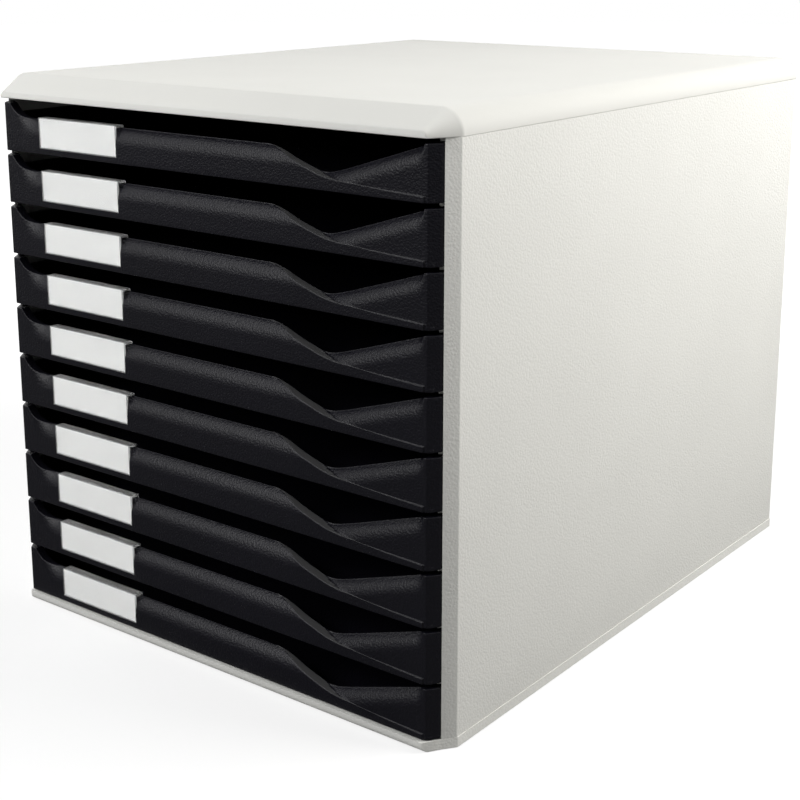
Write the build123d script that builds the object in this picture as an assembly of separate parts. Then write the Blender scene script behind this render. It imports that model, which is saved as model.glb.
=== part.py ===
from build123d import *
import math
import os

# A desktop cabinet with a stack of shallow drawers for A4 sheets, in millimetres.
# The origin is under the middle of the unit, where it stands. +Z is up, +X is to the right
# as seen from the front, and the drawers open towards -Y.

# Outside of the cabinet
WIDTH = 291.0
DEPTH = 352.0
DRAWER_COUNT = 10
PITCH = 27.3  # from one drawer's underside to the next

# Front corners: the drawers' cheeks and the side panels share one bevel seen from above
BEVEL_ACROSS = 4.95
BEVEL_DEEP = 6.55
FRONT_SETBACK = 1.5  # the cover and base stand this far in front of the drawers

# Top cover, a shell
COVER_HEIGHT = 12.0
COVER_WALL = 4.0
COVER_TOP_WALL = 2.5
BAND_HEIGHT = 3.2  # upright strip at the foot of the cover's front
SLOPE_DEPTH = 14.8  # the front slope above that strip, front to back
SIDE_STRIP = 0.5  # upright strip under the rounded side edges
NOSE_CORNER = 1.2  # the cover's front face is this much wider than the drawers' on each side

# Base, a shallow pan with four pads let into its underside
BASE_HEIGHT = 5.2
BASE_FLOOR = 3.0
BASE_FRONT_ROUND = 3.6  # radius of the front's lower edge
BASE_EDGE = 0.5  # radius of the other lower edges
BASE_RIM = 6.0
FOOT_DROP = 0.2
FOOT_SEAT = 1.4
FOOT_RADIUS = 7.0
FOOT_FROM_SIDE = 34.0
FOOT_FROM_END = 36.0

# Side and rear panels
PANEL_INSET = 0.3  # the panels lie this far inside the cover and base
PANEL_WALL = 2.6
POST_DEPTH = 4.0  # the thick front post behind its bevel
REAR_WALL = 2.2
LEDGE = 3.0  # square strip inside each rear corner that the rear panel lies against
RIB_THICK = 1.6
RIB_SETBACK = 1.0  # a rib's front end behind the bevel
RIB_SEAT = 2.0  # how far a rib reaches under a tray
TONGUE_WIDE = 1.2
TONGUE_HIGH = 1.8
TONGUE_GAP = 0.2
NUB_LENGTH = 4.0
NUB_HEIGHT = 3.0

# Clearances
SLIDE_GAP = 0.3  # between a drawer and what it runs on, under or beside
FIT_GAP = 0.1  # between pieces that stay together
STOP_GAP = 0.3  # between a drawer's ears and the stop nubs when it is fully out

# Drawer
TRAVEL = 240.0
FRONT_GAP = 2.4  # open slot above each drawer front
DRAWER_LIFT = 0.6  # lowest drawer above the top of the base
TRAY_FLOOR = 1.6
TRAY_WALL = 1.8
TRAY_WALL_HEIGHT = 19.0
TRAY_INSET = 0.8  # the tray's sides lie this far inside its cheeks
TRAY_REAR_GAP = 9.0
EAR_LENGTH = 12.0

# Drawer front
FRONT_WALL = 2.2
RIM_DEPTH = 5.0
RIM_WALL = 2.0
LEFT_CHEEK_WIDTH = 8.75
RIGHT_CHEEK_WIDTH = 5.75
CHEEK_DEPTH = 9.0
LEVEL_DROP = 7.45  # the level top edge below the top of the cheeks
LEFT_CURVE = 17.0  # the top edge falls from the left cheek over this length
ROLL_HEIGHT = 8.45  # the front rolls back over this height below its top edge
SWEEP_LENGTH = 34.5  # the level top edge sweeps down to the dip over this length
RAMP_LENGTH = 55.0  # from the dip up to the right cheek
RAMP_OVERLAP = 8.0  # the ramp's wall starts this far left of the dip
RAMP_SETBACK = 0.8  # the ramp's wall stands this far behind the lip below it
RAMP_DROP = 0.6  # end of the ramp below the top of the right cheek
DIP_HEIGHT = 6.7
LIP_START = 17.5  # right of the dip the sweep has flattened out into the lip
LIP_HEIGHT = 4.7
LIP_END_HEIGHT = 2.8

# Label card and its clear holder
CARD_FROM_CHEEK = 22.2  # gap between the left cheek and the card
CARD_WIDTH = 56.7
CARD_BOTTOM = 3.4
CARD_THICK = 0.3
HOLDER_WALL = 0.6
HOLDER_MARGIN = 0.9
HOLDER_TOP_WALL = 0.4
HOOK_THICK = 1.2
HOOK_LIP = 1.0

# Places that follow from the sizes
HALF_WIDTH = WIDTH / 2
REAR_Y = DEPTH / 2
SHELL_FRONT_Y = -DEPTH / 2
DRAWER_FRONT_Y = SHELL_FRONT_Y + FRONT_SETBACK
FRONT_HALF = HALF_WIDTH - 2 * BEVEL_ACROSS
PANEL_OUTER_X = HALF_WIDTH - PANEL_INSET
PANEL_INNER_X = PANEL_OUTER_X - PANEL_WALL
POST_INNER_X = HALF_WIDTH - BEVEL_ACROSS
PANEL_REAR_Y = REAR_Y - PANEL_INSET
REAR_INNER_Y = PANEL_REAR_Y - REAR_WALL
BASE_TOP_Z = FOOT_DROP + BASE_HEIGHT
FIRST_Z = BASE_TOP_Z + DRAWER_LIFT
COVER_Z = FIRST_Z + DRAWER_COUNT * PITCH
HEIGHT = COVER_Z + COVER_HEIGHT
TONGUE_X = (PANEL_INNER_X + PANEL_OUTER_X) / 2
CHEEK_HALF = POST_INNER_X - SLIDE_GAP
LEFT_CHEEK_X = LEFT_CHEEK_WIDTH - CHEEK_HALF
RIGHT_CHEEK_X = CHEEK_HALF - RIGHT_CHEEK_WIDTH
TRAY_HALF = CHEEK_HALF - TRAY_INSET
RIB_INNER_X = TRAY_HALF - RIB_SEAT
TRAY_REAR_Y = REAR_INNER_Y - TRAY_REAR_GAP
EAR_FRONT_Y = TRAY_REAR_Y - EAR_LENGTH
CHEEK_TOP = PITCH - FRONT_GAP
LEVEL_TOP = CHEEK_TOP - LEVEL_DROP
RIB_DROP = SLIDE_GAP + RIB_THICK  # from a drawer's underside to the foot of its rib
EAR_TOP = PITCH - RIB_DROP - SLIDE_GAP
RAMP_TOP = CHEEK_TOP - RAMP_DROP
DIP_X = RIGHT_CHEEK_X - RAMP_LENGTH
LEVEL_END_X = DIP_X - SWEEP_LENGTH
LEFT_FOOT_X = LEFT_CHEEK_X + LEFT_CURVE
CARD_LEFT_X = LEFT_CHEEK_X + CARD_FROM_CHEEK
CARD_RIGHT_X = CARD_LEFT_X + CARD_WIDTH
HOLDER_LEFT_X = CARD_LEFT_X - HOLDER_MARGIN
HOLDER_RIGHT_X = CARD_RIGHT_X + HOLDER_MARGIN
HOLDER_BOTTOM = CARD_BOTTOM - FIT_GAP - HOLDER_WALL
HOLDER_BACK = HOLDER_WALL + CARD_THICK + 2 * FIT_GAP
HOLDER_TOP = LEVEL_TOP + FIT_GAP + HOOK_THICK
CARD_TOP = HOLDER_TOP - HOLDER_TOP_WALL - FIT_GAP
POCKET_DEPTH = HOLDER_BACK + FIT_GAP


def bevel_y(x):
    """Where the bevel shared by cheeks and side panels lies, at a distance x from the middle."""
    return DRAWER_FRONT_Y + (abs(x) - FRONT_HALF) * BEVEL_DEEP / BEVEL_ACROSS


def block(x0, x1, y0, y1, z0, z1):
    """A box between two corners."""
    centre = Pos((x0 + x1) / 2, (y0 + y1) / 2, (z0 + z1) / 2)
    return centre * Box(x1 - x0, y1 - y0, z1 - z0)


def polygon(points):
    return make_face(Polyline(*points, close=True))


def upright(face, z0, z1):
    """A plan outline raised from z0 to z1."""
    return extrude(Plane.XY.offset(z0) * face, amount=z1 - z0)


def along_x(face, x0, x1):
    """A section in (y, z) drawn out from x0 to x1."""
    return extrude(Plane.YZ.offset(x0) * face, amount=x1 - x0)


def along_y(face, y0, y1):
    """An elevation in (x, z) drawn out from y0 to y1."""
    return extrude(Plane.XZ.offset(-y0) * face, amount=y0 - y1)


def shell_plan():
    """Outline of the base from above, with its front corners cut off by the bevel."""
    return polygon(
        [
            (-FRONT_HALF, SHELL_FRONT_Y),
            (FRONT_HALF, SHELL_FRONT_Y),
            (HALF_WIDTH, bevel_y(HALF_WIDTH)),
            (HALF_WIDTH, REAR_Y),
            (-HALF_WIDTH, REAR_Y),
            (-HALF_WIDTH, bevel_y(HALF_WIDTH)),
        ]
    )


# Top cover


def cover_section(inset):
    """The cover from the front: flat top and quarter-round side edges, moved inwards by inset."""
    radius = COVER_HEIGHT - SIDE_STRIP - inset
    centre_x = HALF_WIDTH - COVER_HEIGHT + SIDE_STRIP
    centre_z = COVER_Z + SIDE_STRIP
    diagonal = radius * math.sqrt(0.5)
    side = centre_x + radius
    top = centre_z + radius
    outline = Polyline((-side, centre_z), (-side, COVER_Z), (side, COVER_Z), (side, centre_z))
    outline += ThreePointArc(
        (side, centre_z), (centre_x + diagonal, centre_z + diagonal), (centre_x, top)
    )
    outline += Line((centre_x, top), (-centre_x, top))
    outline += ThreePointArc(
        (-centre_x, top), (-centre_x - diagonal, centre_z + diagonal), (-side, centre_z)
    )
    return make_face(outline)


def nose_section(inset):
    """The cover's upright front strip, with small round upper corners, moved inwards by inset."""
    height = BAND_HEIGHT - inset / 2
    radius = height - SIDE_STRIP
    side = FRONT_HALF + NOSE_CORNER - inset
    corner_x = side - radius
    corner_z = COVER_Z + SIDE_STRIP
    diagonal = radius * math.sqrt(0.5)
    top = COVER_Z + height
    outline = Polyline((-side, corner_z), (-side, COVER_Z), (side, COVER_Z), (side, corner_z))
    outline += ThreePointArc(
        (side, corner_z), (corner_x + diagonal, corner_z + diagonal), (corner_x, top)
    )
    outline += Line((corner_x, top), (-corner_x, top))
    outline += ThreePointArc(
        (-corner_x, top), (-corner_x - diagonal, corner_z + diagonal), (-side, corner_z)
    )
    return make_face(outline)


def cover_body(inset, wall):
    """A nose that widens and rises from the front strip to the full section, and the long body."""
    front = SHELL_FRONT_Y + wall
    shoulder = SHELL_FRONT_Y + SLOPE_DEPTH + inset / 2
    front_end = Plane.XZ.offset(-front) * nose_section(inset)
    rear_end = Plane.XZ.offset(-shoulder) * cover_section(inset)
    nose = loft([front_end, rear_end], ruled=True)
    return nose + along_y(cover_section(inset), shoulder, REAR_Y - wall)


def tongue_cut(z0, z1):
    """Grooves that take the side panels' tongues, on both sides."""
    reach = TONGUE_WIDE / 2 + TONGUE_GAP
    y0, y1 = tongue_run()
    cuts = Part()
    for side in (-1, 1):
        x = side * TONGUE_X
        cuts += block(x - reach, x + reach, y0 - TONGUE_GAP, y1 + TONGUE_GAP, z0, z1)
    return cuts


def tongue_run():
    """Front and rear end of a side panel's tongues."""
    return bevel_y(PANEL_OUTER_X) + POST_DEPTH, REAR_INNER_Y - LEDGE


def make_cover():
    hollow = cover_body(COVER_TOP_WALL, COVER_WALL)
    inner_half = HALF_WIDTH - COVER_WALL
    hollow &= block(-inner_half, inner_half, SHELL_FRONT_Y, REAR_Y, COVER_Z, HEIGHT)
    grooves = tongue_cut(COVER_Z, COVER_Z + TONGUE_HIGH + TONGUE_GAP)
    return cover_body(0.0, 0.0) - hollow - grooves


# Base


def front_round():
    """What a quarter round takes off the lower front edge. It runs straight through the bevels."""
    radius = BASE_FRONT_ROUND
    y = SHELL_FRONT_Y + radius
    z = FOOT_DROP + radius
    diagonal = radius * math.sqrt(0.5)
    start = (SHELL_FRONT_Y, z)
    end = (y, FOOT_DROP)
    outside = SHELL_FRONT_Y - radius
    outline = ThreePointArc(start, (y - diagonal, z - diagonal), end)
    outline += Polyline(end, (y, -radius), (outside, -radius), (outside, z), start)
    return along_x(make_face(outline), -WIDTH, WIDTH)


def make_base():
    pan = upright(shell_plan(), FOOT_DROP, BASE_TOP_Z)
    pan = fillet(pan.edges().group_by(Axis.Z)[0], BASE_EDGE)
    pan -= front_round()
    pan -= block(
        -FRONT_HALF,
        FRONT_HALF,
        SHELL_FRONT_Y + BASE_RIM,
        REAR_Y - BASE_RIM,
        FOOT_DROP + BASE_FLOOR,
        BASE_TOP_Z,
    )
    y0, y1 = tongue_run()
    rail_outer = PANEL_INNER_X - TONGUE_GAP
    for side in (-1, 1):
        near, far = sorted((side * RIB_INNER_X, side * rail_outer))
        pan += block(near, far, y0 + TONGUE_GAP, y1 - TONGUE_GAP, BASE_TOP_Z, FIRST_Z - SLIDE_GAP)
    pan -= tongue_cut(BASE_TOP_Z - TONGUE_HIGH - TONGUE_GAP, BASE_TOP_Z)
    for x, y in foot_places():
        seat = Cylinder(FOOT_RADIUS + FIT_GAP, FOOT_SEAT, align=(Align.CENTER, Align.CENTER, Align.MIN))
        pan -= Pos(x, y, FOOT_DROP) * seat
    return pan


def foot_places():
    x = HALF_WIDTH - FOOT_FROM_SIDE
    y = DEPTH / 2 - FOOT_FROM_END
    return [(-x, -y), (x, -y), (-x, y), (x, y)]


def make_feet():
    pad = Cylinder(FOOT_RADIUS, FOOT_DROP + FOOT_SEAT, align=(Align.CENTER, Align.CENTER, Align.MIN))
    return Compound(children=[Pos(x, y, 0) * pad for x, y in foot_places()])


# Side and rear panels


def make_right_panel():
    post_back = bevel_y(PANEL_OUTER_X) + POST_DEPTH
    plan = polygon(
        [
            (POST_INNER_X, bevel_y(POST_INNER_X)),
            (PANEL_OUTER_X, bevel_y(PANEL_OUTER_X)),
            (PANEL_OUTER_X, PANEL_REAR_Y),
            (PANEL_INNER_X, PANEL_REAR_Y),
            (PANEL_INNER_X, REAR_INNER_Y),
            (PANEL_INNER_X - LEDGE, REAR_INNER_Y),
            (PANEL_INNER_X - LEDGE, REAR_INNER_Y - LEDGE),
            (PANEL_INNER_X, REAR_INNER_Y - LEDGE),
            (PANEL_INNER_X, post_back),
            (POST_INNER_X, post_back),
        ]
    )
    panel = upright(plan, BASE_TOP_Z, COVER_Z)
    rib_root = (PANEL_INNER_X + PANEL_OUTER_X) / 2
    rib_plan = polygon(
        [
            (RIB_INNER_X, bevel_y(RIB_INNER_X) + RIB_SETBACK),
            (rib_root, bevel_y(rib_root) + RIB_SETBACK),
            (rib_root, REAR_INNER_Y),
            (RIB_INNER_X, REAR_INNER_Y),
        ]
    )
    nub_rear = EAR_FRONT_Y - TRAVEL - STOP_GAP
    nub_inner = TRAY_HALF - TRAY_WALL + SLIDE_GAP
    for level in range(1, DRAWER_COUNT + 1):
        foot = FIRST_Z + level * PITCH - RIB_DROP
        panel += upright(rib_plan, foot, foot + RIB_THICK)
        panel += block(
            nub_inner, rib_root, nub_rear - NUB_LENGTH, nub_rear, foot - NUB_HEIGHT, foot + RIB_THICK / 2
        )
    y0, y1 = tongue_run()
    panel += block(
        TONGUE_X - TONGUE_WIDE / 2,
        TONGUE_X + TONGUE_WIDE / 2,
        y0,
        y1,
        BASE_TOP_Z - TONGUE_HIGH,
        COVER_Z + TONGUE_HIGH,
    )
    return panel


def make_rear_panel():
    return block(-PANEL_INNER_X, PANEL_INNER_X, REAR_INNER_Y, PANEL_REAR_Y, BASE_TOP_Z, COVER_Z)


# Drawers, drawn with their underside at z = 0 and their front plane at y = 0


def roll_section(top, setback, foot, back=None):
    """A front wall from the side, rolled back at its top, or filled as far as back."""
    start = top - ROLL_HEIGHT
    depth = RIM_DEPTH - setback
    radius = (ROLL_HEIGHT**2 + depth**2) / (2 * depth)
    centre_y = setback + radius
    turn = math.atan2(ROLL_HEIGHT, radius - depth)

    def arc(length, end_turn):
        points = [
            (centre_y - length * math.cos(t), start + length * math.sin(t))
            for t in (0.0, end_turn / 2, end_turn)
        ]
        return ThreePointArc(*points), points[-1]

    outer, outer_end = arc(radius, turn)
    if back is None:
        inner_turn = math.acos((radius - depth) / (radius - FRONT_WALL))
        inner, inner_end = arc(radius - FRONT_WALL, inner_turn)
        inner_foot = setback + FRONT_WALL
        outline = outer + Line(outer_end, inner_end) + inner
        outline += Polyline((inner_foot, start), (inner_foot, foot), (setback, foot), (setback, start))
    else:
        rest = [outer_end, (back, top), (back, foot), (setback, foot), (setback, start)]
        outline = outer + Polyline(*rest)
    return make_face(outline)


def left_web():
    """The front between the left cheek and the level edge, under a curve that falls away."""
    start = (LEFT_CHEEK_X, CHEEK_TOP)
    end = (LEFT_FOOT_X, LEVEL_TOP)
    curve = Spline(start, end, tangents=[(0.5, -1), (1, -0.2)])
    wall = make_face(curve + Polyline(end, (LEFT_FOOT_X, 0), (LEFT_CHEEK_X, 0), start))
    lower = Pos(0, -RIM_WALL) * curve
    ends = Line(start, (LEFT_CHEEK_X, CHEEK_TOP - RIM_WALL))
    ends += Line(end, (LEFT_FOOT_X, LEVEL_TOP - RIM_WALL))
    rim = make_face(curve + lower + ends)
    return along_y(wall, 0, FRONT_WALL) + along_y(rim, 0, RIM_DEPTH)


def below_sweep(drop):
    """Elevation of all that lies under the level edge, its sweep down to the dip and the lip."""
    level = LEVEL_TOP - drop
    level_end = (LEVEL_END_X, level)
    dip = (DIP_X, DIP_HEIGHT - drop)
    lip_start = (DIP_X + LIP_START, LIP_HEIGHT - drop)
    lip_end = (RIGHT_CHEEK_X, LIP_END_HEIGHT - drop)
    lip_fall = (lip_end[0] - lip_start[0], lip_end[1] - lip_start[1])
    sweep = Spline(level_end, dip, lip_start, tangents=[(1, 0), lip_fall])
    foot = -drop
    rest = Polyline(
        lip_start, lip_end, (RIGHT_CHEEK_X, foot), (LEFT_FOOT_X, foot), (LEFT_FOOT_X, level), level_end
    )
    return make_face(sweep + rest)


def level_web():
    """The long front wall, rolled back at its top and cut by the sweep, with a pocket for the label."""
    filled = along_x(roll_section(LEVEL_TOP, 0, 0, RIM_DEPTH), LEFT_FOOT_X, RIGHT_CHEEK_X)
    filled &= along_y(below_sweep(0), 0, RIM_DEPTH)
    pocket_left = HOLDER_LEFT_X - FIT_GAP
    pocket_right = HOLDER_RIGHT_X + FIT_GAP
    sill = HOLDER_BOTTOM - FIT_GAP
    filled -= block(pocket_left, pocket_right, 0, POCKET_DEPTH, sill, LEVEL_TOP)
    wall = along_x(roll_section(LEVEL_TOP, 0, 0), LEFT_FOOT_X, RIGHT_CHEEK_X)
    wall += block(pocket_left, pocket_right, 0, POCKET_DEPTH + FRONT_WALL, 0, LEVEL_TOP)
    rim = along_y(below_sweep(0), 0, RIM_DEPTH) - along_y(below_sweep(RIM_WALL), 0, RIM_DEPTH)
    return filled & (wall + rim)


def ramp_web():
    """The rolled wall that climbs from the dip to the right cheek, a little behind the lip."""
    slope = (RAMP_TOP - DIP_HEIGHT) / RAMP_LENGTH
    start_x = DIP_X - RAMP_OVERLAP
    start_top = DIP_HEIGHT - slope * RAMP_OVERLAP
    ends = [(start_x, start_top), (RIGHT_CHEEK_X, RAMP_TOP)]
    sections = [
        Plane.YZ.offset(x) * roll_section(top, RAMP_SETBACK, top - CHEEK_TOP) for x, top in ends
    ]
    wall = loft(sections, ruled=True)
    return wall & block(start_x, RIGHT_CHEEK_X, 0, CHEEK_DEPTH, 0, CHEEK_TOP)


def cheek(inner_x, side):
    """An end block: upright front face, then the bevel that the side panel carries on."""
    tray_inner = TRAY_HALF - TRAY_WALL
    plan = [
        (abs(inner_x), 0),
        (FRONT_HALF, 0),
        (CHEEK_HALF, bevel_y(CHEEK_HALF) - DRAWER_FRONT_Y),
        (CHEEK_HALF, CHEEK_DEPTH),
        (tray_inner, CHEEK_DEPTH),
        (tray_inner, RIM_DEPTH),
        (abs(inner_x), RIM_DEPTH),
    ]
    return upright(polygon([(side * x, y) for x, y in plan]), 0, CHEEK_TOP)


def make_front():
    return left_web() + level_web() + ramp_web() + cheek(LEFT_CHEEK_X, -1) + cheek(RIGHT_CHEEK_X, 1)


def make_tray():
    rear = TRAY_REAR_Y - DRAWER_FRONT_Y
    inner_half = TRAY_HALF - TRAY_WALL
    tray = block(-TRAY_HALF, TRAY_HALF, RIM_DEPTH, rear, 0, TRAY_WALL_HEIGHT)
    tray -= block(
        -inner_half, inner_half, 0, rear - TRAY_WALL, TRAY_FLOOR, TRAY_WALL_HEIGHT + TRAY_WALL
    )
    tray += block(-FRONT_HALF, FRONT_HALF, 0, RIM_DEPTH + TRAY_WALL, 0, TRAY_FLOOR)
    for side in (-1, 1):
        near, far = sorted((side * inner_half, side * TRAY_HALF))
        tray += block(near, far, rear - EAR_LENGTH, rear, 0, EAR_TOP)
    return tray


def make_holder():
    holder = block(HOLDER_LEFT_X, HOLDER_RIGHT_X, 0, HOLDER_BACK, HOLDER_BOTTOM, HOLDER_TOP)
    hook_back = RIM_DEPTH + FIT_GAP
    hook_end = hook_back + HOLDER_WALL
    holder += block(
        HOLDER_LEFT_X, HOLDER_RIGHT_X, HOLDER_WALL, hook_end, HOLDER_TOP - HOOK_THICK, HOLDER_TOP
    )
    holder += block(
        HOLDER_LEFT_X, HOLDER_RIGHT_X, hook_back, hook_end, LEVEL_TOP - HOOK_LIP, HOLDER_TOP
    )
    slot = block(
        CARD_LEFT_X - FIT_GAP,
        CARD_RIGHT_X + FIT_GAP,
        HOLDER_WALL,
        HOLDER_BACK,
        CARD_BOTTOM - FIT_GAP,
        CARD_TOP + FIT_GAP,
    )
    return holder - slot


def make_card():
    front = HOLDER_WALL + FIT_GAP
    return block(CARD_LEFT_X, CARD_RIGHT_X, front, front + CARD_THICK, CARD_BOTTOM, CARD_TOP)


def main():
    right_panel = make_right_panel()
    pieces = {
        "top_cover": make_cover(),
        "base": make_base(),
        "feet": make_feet(),
        "right_side_panel": right_panel,
        "left_side_panel": mirror(right_panel, about=Plane.YZ),
        "rear_panel": make_rear_panel(),
    }
    drawer = make_front() + make_tray()
    holder = make_holder()
    card = make_card()
    for number in range(1, DRAWER_COUNT + 1):
        place = Pos(0, DRAWER_FRONT_Y, FIRST_Z + (DRAWER_COUNT - number) * PITCH)
        pieces[f"drawer_{number:02d}"] = place * drawer
        pieces[f"label_holder_{number:02d}"] = place * holder
        pieces[f"label_card_{number:02d}"] = place * card
    os.makedirs("parts", exist_ok=True)
    for name, shape in pieces.items():
        shape.label = name
        export_step(shape, f"parts/{name}.step")
    print(f"{len(pieces)} nodes, {WIDTH} x {DEPTH} x {HEIGHT:.1f} mm")


main()
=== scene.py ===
# %% [markdown]
# A desktop drawer unit: a light cabinet with ten near-black drawers for A4 sheets. The solids
# from the drawing are already in the file when it opens. Here each of them gets a finished
# surface over it: small edge radii, the swept drawer fronts, moulded grain, clear label holders.
# Sizes are written in millimetres, as on the drawing, and turned into metres in one place.

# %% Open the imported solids
import math

import bmesh
import bpy
import numpy as np
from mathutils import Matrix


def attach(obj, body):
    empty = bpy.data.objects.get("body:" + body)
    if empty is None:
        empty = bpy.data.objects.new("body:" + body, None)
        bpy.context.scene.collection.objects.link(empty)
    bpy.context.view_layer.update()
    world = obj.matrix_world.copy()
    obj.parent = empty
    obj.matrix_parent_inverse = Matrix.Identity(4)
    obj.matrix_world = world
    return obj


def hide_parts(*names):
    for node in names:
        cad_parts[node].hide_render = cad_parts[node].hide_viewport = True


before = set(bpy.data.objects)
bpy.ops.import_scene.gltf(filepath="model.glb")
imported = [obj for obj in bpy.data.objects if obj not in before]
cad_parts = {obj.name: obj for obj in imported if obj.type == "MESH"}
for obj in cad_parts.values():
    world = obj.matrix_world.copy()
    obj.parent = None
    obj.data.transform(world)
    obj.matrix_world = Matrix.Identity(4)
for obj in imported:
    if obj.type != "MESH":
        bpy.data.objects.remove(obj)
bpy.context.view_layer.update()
scene = bpy.context.scene

# %% [markdown]
# The camera stands in front of the right corner, a little above the lid, and looks slightly
# down. Its lens is long, so the unit's upright edges stay nearly parallel. The picture is moved
# down a little with the lens shift, which keeps those edges upright where a tilt would lean them.

# %% Camera
camera_data = bpy.data.cameras.new("photo_camera")
camera_data.sensor_width = 36.0
camera_data.lens = 68.17
camera_data.shift_y = -0.13
camera = bpy.data.objects.new("photo_camera", camera_data)
camera.location = (0.5051, -0.6728, 0.3584)
camera.rotation_euler = (math.radians(90.0 - 13.24), 0.0, math.radians(37.53))
scene.collection.objects.link(camera)
scene.camera = camera
scene.view_settings.view_transform = "Standard"
print("camera at", tuple(round(v, 3) for v in camera.location), "lens", camera_data.lens)

# %% [markdown]
# Light in a photo studio comes from large soft boxes. One stands low at the front left and
# lights the drawers' fronts. A slightly warm one stands high beside the right wall, so that wall
# is bright at the top and fades downwards. A third hangs close above the front, and a weak one
# behind lights the lid. Two more stand level with the left wall and the back, for views from
# there. A weak even world fills the shadows. Only the camera, mirrors and clear plastic see the
# world as white, and mirrors see a brighter patch in it above the front, which draws the sheen
# along the fronts' tops.


# %% Soft boxes and world
WORLD_FILL = 0.1
SHEEN_FROM = (-0.20, -0.29, 0.936)
SHEEN_EDGE = 0.82
SHEEN_FULL = 0.96
SHEEN_STRENGTH = 6.0


def soft_box(name, place, aim, size, power, colour=(1.0, 1.0, 1.0)):
    """A flat lamp at place that faces aim, both in metres: its -Z axis is turned along the line."""
    data = bpy.data.lights.new(name, "AREA")
    data.shape = "RECTANGLE"
    data.size, data.size_y = size
    data.energy = power
    data.color = colour
    lamp = bpy.data.objects.new(name, data)
    lamp.location = place
    line = np.subtract(aim, place)
    flat = math.hypot(line[0], line[1])
    lamp.rotation_euler = (math.atan2(flat, -line[2]), 0.0, math.atan2(-line[0], line[1]))
    scene.collection.objects.link(lamp)
    return lamp


soft_box("front_box", (-0.52, -1.3, 0.85), (0.0, -0.17, 0.15), (0.8, 0.6), 13.2)
soft_box("side_box", (0.8, 0.36, 0.75), (0.14, 0.05, 0.2), (0.6, 0.6), 10.4, (1.0, 0.985, 0.96))
soft_box("rear_box", (-0.9, 1.5, 2.0), (0.0, 0.0, 0.25), (1.0, 1.0), 1.5)
soft_box("left_box", (-1.5, 0.1, 0.35), (-0.14, 0.0, 0.15), (0.8, 0.6), 8.0)
soft_box("back_box", (0.0, 1.6, 0.35), (0.0, 0.17, 0.15), (0.6, 0.6), 6.5)
soft_box("upper_box", (-0.15, -0.5, 0.8), (0.0, -0.17, 0.2), (0.5, 0.3), 0.55)

world = bpy.data.worlds.new("studio")
world.use_nodes = True
scene.world = world
nodes, links = world.node_tree.nodes, world.node_tree.links
nodes.clear()
rays = nodes.new("ShaderNodeLightPath")
seen = nodes.new("ShaderNodeMath")
seen.operation = "MAXIMUM"
mirrored = nodes.new("ShaderNodeMath")
mirrored.operation = "MAXIMUM"
links.new(rays.outputs["Is Glossy Ray"], mirrored.inputs[0])
links.new(rays.outputs["Is Transmission Ray"], mirrored.inputs[1])
links.new(rays.outputs["Is Camera Ray"], seen.inputs[0])
links.new(mirrored.outputs[0], seen.inputs[1])
fill = nodes.new("ShaderNodeBackground")
fill.inputs["Color"].default_value = (1.0, 1.0, 1.0, 1.0)
fill.inputs["Strength"].default_value = WORLD_FILL
white = nodes.new("ShaderNodeBackground")
white.inputs["Color"].default_value = (1.0, 1.0, 1.0, 1.0)
way = nodes.new("ShaderNodeTexCoord")
facing = nodes.new("ShaderNodeVectorMath")
facing.operation = "DOT_PRODUCT"
facing.inputs[1].default_value = SHEEN_FROM
links.new(way.outputs["Generated"], facing.inputs[0])
patch = nodes.new("ShaderNodeMapRange")
patch.interpolation_type = "SMOOTHSTEP"
patch.inputs["From Min"].default_value = SHEEN_EDGE
patch.inputs["From Max"].default_value = SHEEN_FULL
patch.inputs["To Min"].default_value = 1.0
patch.inputs["To Max"].default_value = SHEEN_STRENGTH
links.new(facing.outputs["Value"], patch.inputs["Value"])
links.new(patch.outputs["Result"], white.inputs["Strength"])
choose = nodes.new("ShaderNodeMixShader")
links.new(seen.outputs[0], choose.inputs["Fac"])
links.new(fill.outputs[0], choose.inputs[1])
links.new(white.outputs[0], choose.inputs[2])
out = nodes.new("ShaderNodeOutputWorld")
links.new(choose.outputs[0], out.inputs["Surface"])

# %% [markdown]
# The floor is a wide disc of pale paper. What the camera sees of it is lifted to white, more so
# the further it is from the unit, so the paper runs into the white background without a line.
# Its own colour is still lit and shaded, so the unit's shadow stays on it.

# %% Floor
FLOOR_RADIUS = 6.0
PAPER_GREY = 0.32
NEAR_GLOW = 0.74
GLOW_STARTS = 0.25
GLOW_FULL = 1.1

angles = np.linspace(0.0, 2.0 * np.pi, 96, endpoint=False)
rim = FLOOR_RADIUS * np.stack([np.cos(angles), np.sin(angles), np.zeros(96)], axis=1)
floor_mesh = bpy.data.meshes.new("floor")
floor_mesh.from_pydata(rim.tolist(), [], [list(range(96))])
floor = bpy.data.objects.new("floor", floor_mesh)
scene.collection.objects.link(floor)

paper = bpy.data.materials.new("floor_paper")
paper.use_nodes = True
nodes, links = paper.node_tree.nodes, paper.node_tree.links
nodes.clear()
place = nodes.new("ShaderNodeTexCoord")
reach = nodes.new("ShaderNodeVectorMath")
reach.operation = "LENGTH"
links.new(place.outputs["Object"], reach.inputs[0])
lift = nodes.new("ShaderNodeMapRange")
lift.interpolation_type = "SMOOTHSTEP"
lift.inputs["From Min"].default_value = GLOW_STARTS
lift.inputs["From Max"].default_value = GLOW_FULL
lift.inputs["To Min"].default_value = NEAR_GLOW
lift.inputs["To Max"].default_value = 1.0
links.new(reach.outputs["Value"], lift.inputs["Value"])
rays = nodes.new("ShaderNodeLightPath")
seen = nodes.new("ShaderNodeMath")
seen.operation = "MAXIMUM"
links.new(rays.outputs["Is Camera Ray"], seen.inputs[0])
links.new(rays.outputs["Is Transmission Ray"], seen.inputs[1])
glow_power = nodes.new("ShaderNodeMath")
glow_power.operation = "MULTIPLY"
links.new(lift.outputs["Result"], glow_power.inputs[0])
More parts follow.
